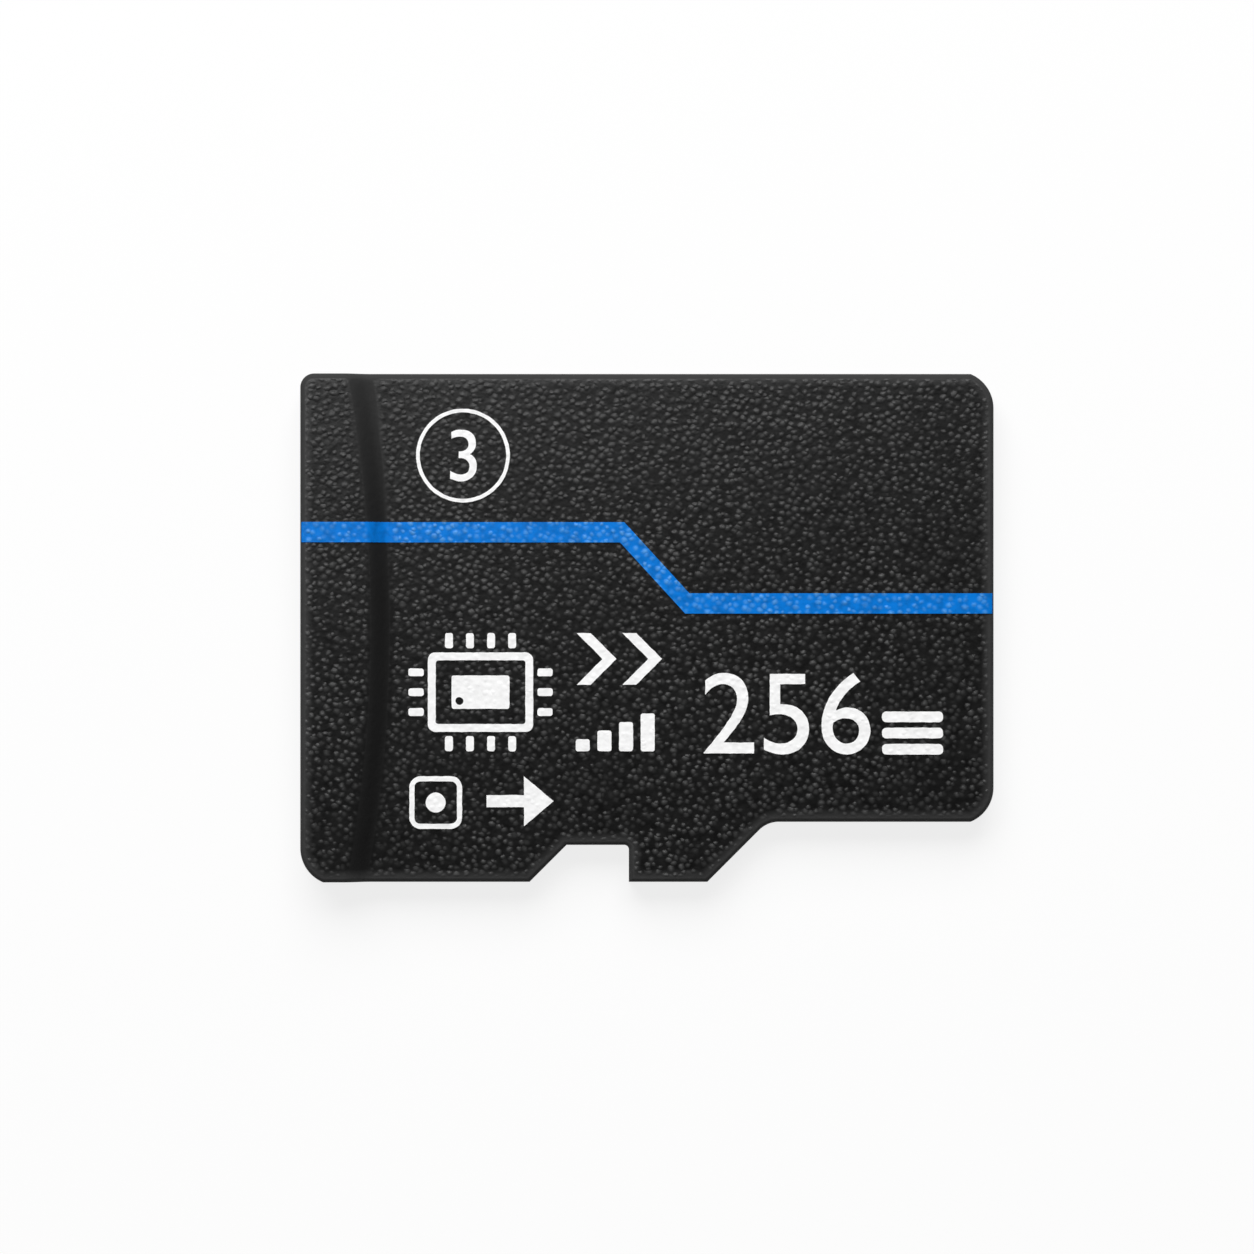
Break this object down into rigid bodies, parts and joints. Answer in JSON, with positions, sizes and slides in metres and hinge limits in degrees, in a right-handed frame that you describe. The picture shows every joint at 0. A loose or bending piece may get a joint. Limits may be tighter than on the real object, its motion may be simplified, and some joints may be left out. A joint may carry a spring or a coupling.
{
  "type": "memory card",
  "caption": "Thin flat memory card with a raised grip lip, a latch notch and a stepped long edge, gold contacts under one end and a printed label face.",
  "frame": {"origin": "middle of the card's length and width, on the contact side it lies on", "axes": "+X along the card to the contact end, +Y to the straight long side, +Z out of the label face"},
  "size_m": [0.015, 0.011, 0.001],
  "materials": {
    "epoxy": "black epoxy moulding compound with a fine spark-eroded grain",
    "solder_mask": "black solder mask over a thin laminate board",
    "gold_plating": "hard gold plating on copper",
    "silicon": "ground and polished silicon",
    "die_film": "cured adhesive film",
    "gold_wire": "drawn gold wire",
    "capacitor_ceramic": "fired ceramic with tinned ends",
    "blue_ink": "screen-printed ink that follows the grain",
    "white_ink": "screen-printed ink that follows the grain"
  },
  "bodies": {
    "root": {"blue_stripe_print": "blue_ink", "capacitor_1": "capacitor_ceramic", "capacitor_2": "capacitor_ceramic", "capacitor_3": "capacitor_ceramic", "capacitor_4": "capacitor_ceramic", "contact_pad_1": "gold_plating", "contact_pad_2": "gold_plating", "contact_pad_3": "gold_plating", "contact_pad_4": "gold_plating", "contact_pad_5": "gold_plating", "contact_pad_6": "gold_plating", "contact_pad_7": "gold_plating", "contact_pad_8": "gold_plating", "controller_attach_film": "die_film", "controller_bond_wires_front": "gold_wire", "controller_bond_wires_rear": "gold_wire", "controller_die": "silicon", "die_attach_film_1": "die_film", "die_attach_film_2": "die_film", "die_attach_film_3": "die_film", "die_attach_film_4": "die_film", "memory_bond_wires_1": "gold_wire", "memory_bond_wires_2": "gold_wire", "memory_bond_wires_3": "gold_wire", "memory_bond_wires_4": "gold_wire", "memory_die_1": "silicon", "memory_die_2": "silicon", "memory_die_3": "silicon", "memory_die_4": "silicon", "moulded_body": "epoxy", "substrate_board": "solder_mask", "white_ring_print": "white_ink"}
  },
  "joints": []
}
